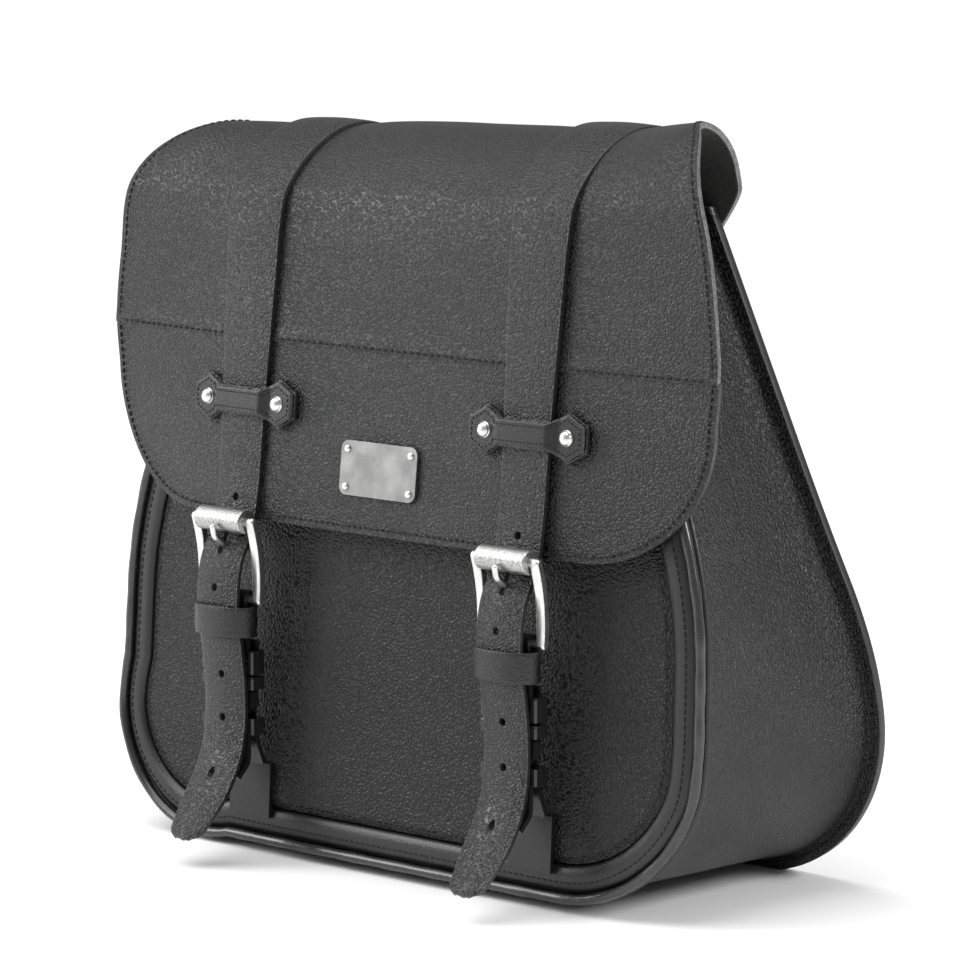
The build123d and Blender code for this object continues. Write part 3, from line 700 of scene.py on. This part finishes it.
# By reach: how far back the flap's ends curve, and how far back and down the crown's middle lies.
SET_BACK = [(0.0, 0.0), (40.0, 1.2), (77.0, 4.0), (124.0, 8.0), (186.0, 15.5), (210.0, 17.5)]
CROWN_BACK = [
    (-75.0, 0.0),
    (-54.0, 3.0),
    (-40.0, 7.0),
    (-25.0, 11.0),
    (-12.0, 13.0),
    (0.0, 12.5),
    (20.0, 10.0),
    (39.0, 6.5),
    (55.0, 2.0),
    (75.0, 0.0),
]
CROWN_DOWN = [(-60.0, 0.0), (-30.0, 0.8), (-10.0, 1.8), (20.0, 2.6), (39.0, 2.0), (60.0, 0.0)]
# How much wider the crown's left end is than its right one.
LEFT_WIDE = 3.0
# How deep the crown dips under each strap, and how far from the strap's middle the dip reaches.
STRAP_DIP, DIP_WIDTH = 2.2, 26.0
# How far the crown's ends stand above its middle: the left end lies below it.
RIGHT_RISE, LEFT_RISE = 6.0, -7.0


def flap_out(reach):
    """The way that the flap faces at a distance along it."""
    turn = math.pi / 2 + min(max(reach, REAR_END), FRONT_END) / ARCH
    return Vector((0.0, math.cos(turn), math.sin(turn)))


def flap_point(x, reach, lift=0.0):
    """A point on the flap's outer face; `reach` runs from the top of the arch, forwards and down."""
    if x < 0.0:
        left_wide = LEFT_WIDE * (smooth(-20.0, 10.0, reach) - smooth(50.0, 90.0, reach))
        x -= left_wide * (x / 150.0) ** 2

    # The plain shape: an arch between two straight runs.
    within = min(max(reach, REAR_END), FRONT_END)
    out = flap_out(reach)
    point = Vector((x, ARCH_Y, ARCH_Z)) + out * (ARCH + lift)
    down = Vector((0.0, -out.z, out.y)) if reach > 0 else Vector((0.0, out.z, -out.y))
    point += down * abs(reach - within)

    # What the leather does: the ends droop back, the crown sags in the middle and under the straps.
    middle = max(1.0 - (x / 142.0) ** 4, 0.0)
    crown = smooth(-45.0, -10.0, reach) - smooth(20.0, 70.0, reach)
    point.y += through(SET_BACK, [max(reach, 0.0)])[0] * abs(x / 180.0) ** 3
    point.y += through(CROWN_BACK, [reach])[0] * middle
    point.z -= through(CROWN_DOWN, [reach])[0] * middle
    point.z -= STRAP_DIP * crown * math.exp(-(((abs(x) - STRAP_X) / DIP_WIDTH) ** 2))
    rise = RIGHT_RISE if x > 0 else LEFT_RISE
    point.z += rise * min(abs(x / 141.0), 1.15) ** 1.5 * (1.0 - smooth(15.0, 120.0, abs(reach)))
    return point


# Half the flap's width above its round corners, by reach.
FLAP_EDGE = [
    (-130.0, 105.0),
    (REAR_END - 30.0, 107.0),
    (REAR_END - 26.0, 109.0),
    (REAR_END, 131.5),
    (REAR_END + 10.0, 133.0),
    (-14.0, 137.0),
    (4.0, 144.5),
    (22.0, 157.0),
    (44.0, 167.5),
    (70.0, 176.0),
    (flap_reach(258.0), 181.0),
    (flap_reach(SEAM_Z), 182.3),
    (FLAP_CORNER_REACH, FLAP_HALF),
]


def flap_half_width(reach):
    """Half the flap's width at a distance along it."""
    if reach <= FLAP_CORNER_REACH:
        return through(FLAP_EDGE, [reach])[0]
    drop = min((reach - FLAP_CORNER_REACH) * math.cos(FLAP_LEAN) / FLAP_CORNER, 1.0)
    return FLAP_HALF - FLAP_CORNER + FLAP_CORNER * math.sqrt(max(1.0 - drop * drop, 0.0))


def flap_grid(name, reaches, lift):
    """A sheet across the flap; `lift` is a function of the reach."""
    rows = []
    for reach in reaches:
        half = flap_half_width(reach)
        rows.append([flap_point(share * half, reach, lift(reach)) for share in span(1.0, -1.0, 150)])
    return grid(name, rows)


def hinge_blend(piece):
    """Bakes the sheet's placement into its mesh."""
    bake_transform(piece)


def flap_leather():
    """The flap's two panels: the upper one runs over the arch and down the back, and laps the lower."""
    seam = flap_reach(SEAM_Z)
    rear_leaf, lap_lift = 44.0, 0.55
    reaches = span(REAR_END - rear_leaf, seam, 96)
    upper = flap_grid("flap_upper", reaches, lambda reach: lap_lift * smooth(seam - 8.0, seam - 1.0, reach))
    thicken(upper, FLAP_THICK, (BODY, SUEDE, CUT_EDGE_HIGHLIGHT), edge=0.35)
    hinge_blend(upper)
    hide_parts("flap_upper_panel", "flap_rear_leaf")

    reaches = span(seam - 1.0, FLAP_CORNER_REACH, 12)
    corner_rise = FLAP_CORNER / math.cos(FLAP_LEAN)
    reaches += [FLAP_CORNER_REACH + corner_rise * math.sin(turn) for turn in span(0.06, math.pi / 2, 34)]
    lower = flap_grid("flap_lower", reaches, lambda reach: -0.2)
    thicken(lower, FLAP_THICK, (BODY, SUEDE, DARK_EDGE), edge=0.45)
    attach(lower, "flap")
    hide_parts("flap_lower_panel")


def flap_stitches():
    """Rows along the flap's edge and above its cross seam."""
    inset = 3.0
    edge = [(flap_half_width(reach) - inset, reach) for reach in span(-6.0, FLAP_CORNER_REACH, 60)]
    rise = (FLAP_CORNER - inset) / math.cos(FLAP_LEAN)
    for turn in span(0.05, math.pi / 2, 26):
        x = FLAP_HALF - FLAP_CORNER + (FLAP_CORNER - inset) * math.cos(turn)
        edge.append((x, FLAP_CORNER_REACH + rise * math.sin(turn)))
    bottom_x, bottom_reach = edge[-1]
    edge += [(x, bottom_reach) for x in span(bottom_x, 0.0, 30)[1:]]
    both = edge + [(-x, reach) for x, reach in reversed(edge[:-1])]
    path = [flap_point(x, reach, 0.12) for x, reach in both]
    edge_row = stitch_row("edge", path, [flap_out(place[1]) for place in both])

    seam = flap_reach(SEAM_Z) - 1.3
    path = [flap_point(x, seam, 0.6) for x in span(-176.0, 176.0, 70)]
    seam_row = stitch_row("seam", path, [flap_out(seam)] * len(path), pitch=4.0, length=2.8, radius=0.6)
    thread = join("flap_stitches", [edge_row, seam_row])
    thread.data.materials.append(THREAD)
    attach(thread, "flap")


flap_leather()
flap_stitches()

# ---------------------------------------------------------------- straps
# Half widths at the buckle and over the arch, and the height of the outer face over what it lies on.
STRAP_HALF, STRAP_TOP_HALF = 12.7, 17.0
STRAP_THICK = 2.7
STRAP_LIFT = 3.3
# How full the strap's outer face is across its width, and how much fuller below the buckle.
STRAP_CROWN, HANGING_CROWN = 0.7, 1.1
# The hanging end's outer face, as (y, z): through the buckle and the keeper, and forwards to the tip.
HANG = (
    (-57.4, 158.0),
    (-61.0, 149.0),
    (-66.6, 139.0),
    (-69.3, 126.0),
    (-69.2, 112.0),
    (-67.6, 98.0),
    (-66.4, 80.0),
    (-66.6, 63.0),
    (-69.6, 49.0),
    (-76.0, 37.0),
    (-83.5, 27.0),
    (-90.5, 18.5),
    (-94.5, 13.2),
)
HANG_ASIDE = 1.5
HOLE_HEIGHTS = (165.5, 125.5, 105.5, 85.5, 65.5, 45.5)
CURLED_BELOW = 50.0
SLOT_Z, SLOT_STRETCH = 146.0, 3.6
PIN = ((0.001, -30.0), (1.9, -30.0), (1.9, 30.0), (0.001, 30.0))


def strap_half_width(z, behind_arch):
    """Half the strap's width: it narrows from the arch down to the buckle, and again at the tip."""
    if behind_arch:
        return STRAP_TOP_HALF
    wide = STRAP_HALF + (STRAP_TOP_HALF - STRAP_HALF) * smooth(165.0, 338.0, z)
    tip_share = 0.76
    return wide * (tip_share + (1.0 - tip_share) * smooth(13.0, 34.0, z))


def hang_aside(z):
    """How far to the right the hanging end has swung at height z."""
    return HANG_ASIDE * (1.0 - smooth(75.0, 115.0, z))


def strap_path(side):
    """A long strap's middle line, from riveted end to tip, and the reaches of its part on the flap."""
    x = side * STRAP_X
    rear_z, front_z = 246.0, 176.0
    rear = REAR_END - (REAR_END_Z - rear_z) / math.cos(BACK_LEAN)
    reaches = span(rear, flap_reach(front_z), 110)
    laid = [flap_point(x, reach, STRAP_LIFT) for reach in reaches]
    hang = [laid[-4], laid[-1]] + [Vector((x + hang_aside(z), y, z)) for y, z in HANG]
    free = curve_points(hang, 2.6)
    start = next(index for index, point in enumerate(free) if point.z < laid[-1].z - 1.5)
    return laid + free[start:], reaches


def long_strap(name, side):
    """A long strap's outer face, crowned across and rounded at both ends."""
    path, reaches = strap_path(side)
    places = lengths(path)
    rows, cuts = [], []
    for index, point in enumerate(path):
        before, after = path[max(index - 1, 0)], path[min(index + 1, len(path) - 1)]
        along = (after - before).normalized()
        out = Vector((0.0, along.z, -along.y))
        half = strap_half_width(point.z, index < len(reaches) and reaches[index] < 0)
        for rounding, end in ((14.0, places[index]), (6.0, places[-1] - places[index])):
            half *= math.sqrt(1.0 - 0.8 * (1.0 - min(end / rounding, 1.0)) ** 2)
        full = STRAP_CROWN + HANGING_CROWN * (1.0 - smooth(140.0, 170.0, point.z))
        row, cut = [], []
        for share in span(-1.0, 1.0, 15):
            crown = full * (1.0 - share * share) - full * 0.5
            row.append(point + Vector((share * half, 0, 0)) + out * crown)
            cut.append(min(half * (1.0 - abs(share)), places[index], places[-1] - places[index]))
        rows.append(row)
        cuts.append(cut)
    return grid(name, [list(reversed(row)) for row in rows], cuts=[list(reversed(cut)) for cut in cuts])


def hole_cutters(side):
    """Pins that cut the strap's holes and the slot for the prong."""
    straight, curled = (0.0, -1.0, 0.0), (0.0, -1.0, -0.6)
    pins = []
    for z in HOLE_HEIGHTS:
        centre = Vector((side * STRAP_X + hang_aside(z), -66.0, z))
        pins.append(lathe("pin", PIN, centre, curled if z < CURLED_BELOW else straight, turns=14))
    slot = lathe("pin", PIN, Vector((side * STRAP_X, -60.0, SLOT_Z)), straight, turns=14)
    for vertex in slot.data.vertices:
        vertex.co.z += math.copysign(SLOT_STRETCH * MM, vertex.co.z - SLOT_Z * MM)
    return join("cutters", pins + [slot])


def straps():
    """Both long straps."""
    for label, side in SIDES.items():
        piece = long_strap(f"long_strap_{label}", side)
        thicken(piece, STRAP_THICK, (STRAP, SUEDE, DARK_EDGE), edge=0.6, cutters=hole_cutters(side))
        hinge_blend(piece)
        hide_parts(f"strap_{label}", f"rear_strap_{label}")


straps()

# ---------------------------------------------------------------- tabs and rivets
# HEXAGON is the distance from a rivet to its hexagon's points, and TAB_BAND is half the band's height.
TAB_Z, TAB_SPACING, HEXAGON, TAB_BAND = 209.0, 45.7, 10.3, 5.4
TAB_END = TAB_SPACING / 2 + HEXAGON * math.cos(math.radians(30))
TAB_REACH = flap_reach(TAB_Z)
# How high each layer's outer face lies over the flap, and how much higher it passes over the strap.
BACKING_LIFT, TOP_LIFT, OVER_STRAP = 2.2, 4.3, 2.9


def tab_half_height(across, margin):
    """Half the height of a tab: a band with a hexagon, point up, round each rivet."""
    flat = HEXAGON * math.cos(math.radians(30)) + margin
    off = abs(abs(across) - TAB_SPACING / 2)
    if off > flat:
        return TAB_BAND + margin
    return max(HEXAGON + margin * 1.15 - off * math.tan(math.radians(30)), TAB_BAND + margin)


def over_strap(across):
    """How much higher a tab lies there because it passes over the strap."""
    return OVER_STRAP * (1.0 - smooth(13.4, 19.0, abs(across)))


def tab_layer(name, side, margin, lift, thickness, materials):
    """One layer of a tab, whose outline lies `margin` outside that of the top layer."""
    end = TAB_END + margin
    places = sorted(set(span(-end, end, 61)) | {TAB_SPACING / 2, -TAB_SPACING / 2})
    rows, cuts = [], []
    for across in places:
        half = tab_half_height(across, margin)
        row, cut = [], []
        for share in span(-1.0, 1.0, 13):
            place = TAB_REACH - share * half
            row.append(flap_point(side * STRAP_X + across, place, lift + over_strap(across)))
            cut.append(min(half * (1.0 - abs(share)), end - abs(across)))
        rows.append(row)
        cuts.append(cut)
    piece = grid(name, list(reversed(rows)), cuts=list(reversed(cuts)))
    return thicken(piece, thickness, materials, edge=0.4)


# A domed rivet head on its burr, as (radius, height).
DOME = (
    (3.7, -0.9),
    (3.7, -0.1),
    (3.6, 0.1),
    (3.3, 0.25),
    (3.2, 0.8),
    (2.8, 1.4),
    (2.0, 1.9),
    (1.0, 2.15),
    (0.02, 2.2),
)


def tab_stitches(name, side):
    """The stitch row inside a tab's outline."""
    margin = -1.9
    end = TAB_END + margin
    path = [(across, tab_half_height(across, margin)) for across in span(-end, end, 80)]
    loop = path + [(across, -height) for across, height in reversed(path)] + [path[0]]
    line = []
    for across, up in loop:
        lift = TOP_LIFT + 0.1 + over_strap(across)
        line.append(flap_point(side * STRAP_X + across, TAB_REACH - up, lift))
    return stitch_row(name, line, [flap_out(TAB_REACH)] * len(line), pitch=2.3, length=1.5, radius=0.28)


def tabs():
    """Both tabs, their stitches and rivets."""
    for label, side in SIDES.items():
        lower = tab_layer(f"tab_backing_{label}", side, 0.9, BACKING_LIFT, 1.7, (STRAP, SUEDE, DARK_EDGE))
        upper = tab_layer(f"tab_top_{label}", side, 0.0, TOP_LIFT, 1.9, (SMOOTH, SUEDE, CUT_EDGE_HIGHLIGHT))
        thread = tab_stitches(f"tab_stitches_{label}", side)
        heads = []
        for across in (-TAB_SPACING / 2, TAB_SPACING / 2):
            centre = flap_point(side * STRAP_X + across, TAB_REACH, TOP_LIFT + 0.1)
            heads.append(lathe("head", DOME, centre, flap_out(TAB_REACH)))
        rivets = join(f"tab_rivet_heads_{label}", heads)
        rivets.data.materials.append(NICKEL)
        for piece in (lower, upper, thread, rivets):
            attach(piece, "flap")
        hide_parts(f"strap_tab_{label}")
        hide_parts(f"tab_rivets_{label}")


tabs()

# ---------------------------------------------------------------- keeper loops
KEEPER_LOW, KEEPER_HIGH = 103.4, 117.2
KEEPER_Y = -62.6
KEEPER_HALF_WIDTH, KEEPER_FRONT, KEEPER_BACK = 17.6, 9.6, 7.4
KEEPER_POINTS = 64


def keepers():
    """A leather loop round each hanging strap, full at the front."""
    for label, side in SIDES.items():
        rows = []
        for z in span(KEEPER_LOW, KEEPER_HIGH, 9):
            ring = []
            for step in range(KEEPER_POINTS):
                turn = 2 * math.pi * step / KEEPER_POINTS
                across, deep = math.cos(turn), math.sin(turn)
                x = math.copysign(abs(across) ** 0.95, across) * KEEPER_HALF_WIDTH
                y = math.copysign(abs(deep) ** 0.9, deep) * (KEEPER_FRONT if deep < 0 else KEEPER_BACK)
                ring.append(Vector((side * STRAP_X + x, KEEPER_Y + y, z)))
            rows.append(ring)
        piece = grid(f"keeper_{label}", rows, loop=True)
        thicken(piece, 1.5, (LOOP, SUEDE, DARK_EDGE), edge=0.4)
        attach(piece, "flap")
        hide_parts(f"keeper_loop_{label}")


keepers()

# ---------------------------------------------------------------- finishes of the CAD pieces that show
FINISHES = {
    "back_panel": BODY,
    "back_lining": SUEDE,
    "back_stiffener": BOARD,
    "bottom_board": BOARD,
    "front_binding": SMOOTH,
    "mounting_eyelets": BRASS,
    "name_plate": PLATE,
    "plate_rivets": NICKEL,
    "rear_rivets": NICKEL,
}
for label in SIDES:
    FINISHES[f"buckle_frame_{label}"] = NICKEL
    FINISHES[f"buckle_roller_{label}"] = ROLLER
    FINISHES[f"buckle_prong_{label}"] = NICKEL
    FINISHES[f"buckle_strap_{label}"] = SMOOTH
    FINISHES[f"socket_strap_{label}"] = SMOOTH
    FINISHES[f"lower_strap_{label}"] = SMOOTH
    for part in ("insert", "socket"):
        FINISHES[f"clip_{part}_{label}"] = PLASTIC
    for place in ("outer", "inner"):
        FINISHES[f"clip_arm_{label}_{place}"] = PLASTIC
for node, material in FINISHES.items():
    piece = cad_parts[node]
    if not piece.material_slots:
        piece.data.materials.append(material)
    for slot in piece.material_slots:
        slot.material = material


# ---------------------------------------------------------------- floor, light and camera
def backdrop():
    """A plain pale floor."""
    side = 60.0
    corners = [(-side, -side, 0), (side, -side, 0), (side, side, 0), (-side, side, 0)]
    mesh = bpy.data.meshes.new("floor")
    mesh.from_pydata(corners, [], [(0, 1, 2, 3)])
    floor = bpy.data.objects.new("floor", mesh)
    bpy.context.collection.objects.link(floor)
    material, _, _, shader = new_material("floor")
    shader.inputs["Base Color"].default_value = (0.96, 0.96, 0.96, 1.0)
    shader.inputs["Roughness"].default_value = 0.9
    shader.inputs["Specular IOR Level"].default_value = 0.0
    mesh.materials.append(material)


def put(name, data, place, towards):
    """A lamp or a camera at `place` that looks along `towards`."""
    holder = bpy.data.objects.new(name, data)
    bpy.context.collection.objects.link(holder)
    holder.location = place
    holder.rotation_euler = towards.to_track_quat("-Z", "Y").to_euler()
    return holder


def softbox(name, place, aim, size, power):
    """A large square lamp that points at `aim`."""
    lamp = bpy.data.lights.new(name, "AREA")
    lamp.shape = "SQUARE"
    lamp.size = size
    lamp.energy = power
    put(name, lamp, place, Vector(aim) - Vector(place))


def studio():
    """Even pale surroundings, soft light from above, a key lamp on the left and a rim lamp on the right."""
    world = bpy.data.worlds.new("studio")
    world.use_nodes = True
    background = world.node_tree.nodes["Background"]
    background.inputs["Color"].default_value = (1.0, 1.0, 1.0, 1.0)
    background.inputs["Strength"].default_value = 0.38
    bpy.context.scene.world = world
    bpy.context.scene.view_settings.view_transform = "Standard"
    overhead = bpy.data.lights.new("overhead", "SUN")
    overhead.energy = 2.3
    overhead.angle = math.radians(60.0)
    put("overhead", overhead, (0.0, 0.0, 0.0), Vector((0.25, 0.3, -1.0)))
    softbox("key", (-1.75, -1.35, 1.05), (0.0, 0.0, 0.18), 1.3, 35.0)
    softbox("rim", (2.0, 0.5, 1.3), (0.1, 0.0, 0.2), 0.8, 36.0)


def photo_camera():
    """The camera at the photograph's angle."""
    lens = bpy.data.cameras.new("camera")
    lens.lens = 183.8
    lens.sensor_width = 36.0
    lens.clip_end = 100.0
    place = Vector((1509.2, -1647.3, 498.1)) * MM
    aim = Vector((68.9, -55.0, 183.7)) * MM
    bpy.context.scene.camera = put("camera", lens, place, aim - place)


backdrop()
studio()
photo_camera()
